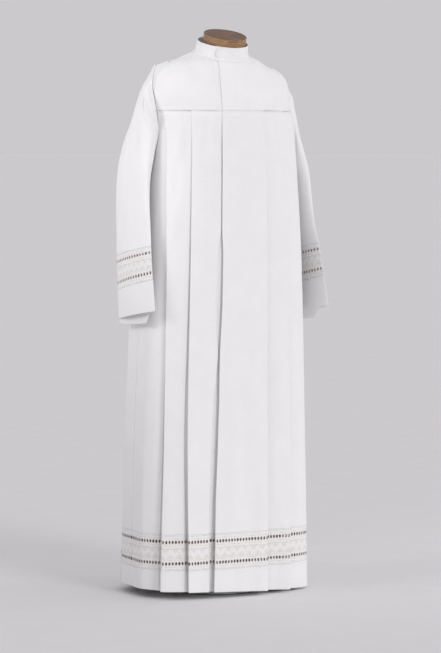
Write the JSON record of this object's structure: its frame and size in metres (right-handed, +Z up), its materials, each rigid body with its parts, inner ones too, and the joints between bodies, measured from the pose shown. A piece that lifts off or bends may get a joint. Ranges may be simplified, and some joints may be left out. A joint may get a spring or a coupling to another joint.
{
  "type": "pleated alb robe on a dress form",
  "caption": "Long white liturgical alb with stand collar, yoke, knife pleats, straight sleeves and openwork bands, worn by a limbless dress form on a plain stand.",
  "frame": {"origin": "centre of the stand's foot, on the floor", "axes": "+Z up, -Y towards the front of the robe, +X towards the wearer's left"},
  "size_m": [0.5972, 0.3627, 1.5403],
  "materials": {
    "alb_cloth": "plain woven, soft, faint sheen",
    "alb_openwork": "woven openwork insertion with hemstitched holes",
    "form_cover": "matt calico over a light shell",
    "cap_wood": "turned, oiled, brown",
    "stand_steel": "satin"
  },
  "bodies": {
    "root": {"collar": "alb_cloth", "yoke_front_right": "alb_cloth", "yoke_front_left": "alb_cloth", "yoke_back": "alb_cloth", "front_right": "alb_cloth", "front_left": "alb_cloth", "back": "alb_cloth", "hem_front_right": "alb_cloth", "hem_front_left": "alb_cloth", "hem_back": "alb_cloth", "sleeve_right": "alb_cloth", "sleeve_left": "alb_cloth", "cuff_right": "alb_cloth", "cuff_left": "alb_cloth", "lace_front_right": "alb_openwork", "lace_front_left": "alb_openwork", "lace_back": "alb_openwork", "sleeve_lace_right": "alb_openwork", "sleeve_lace_left": "alb_openwork", "form_bust": "form_cover", "form_neck_cap": "cap_wood", "stand_pole": "stand_steel", "stand_base": "stand_steel"}
  },
  "joints": []
}
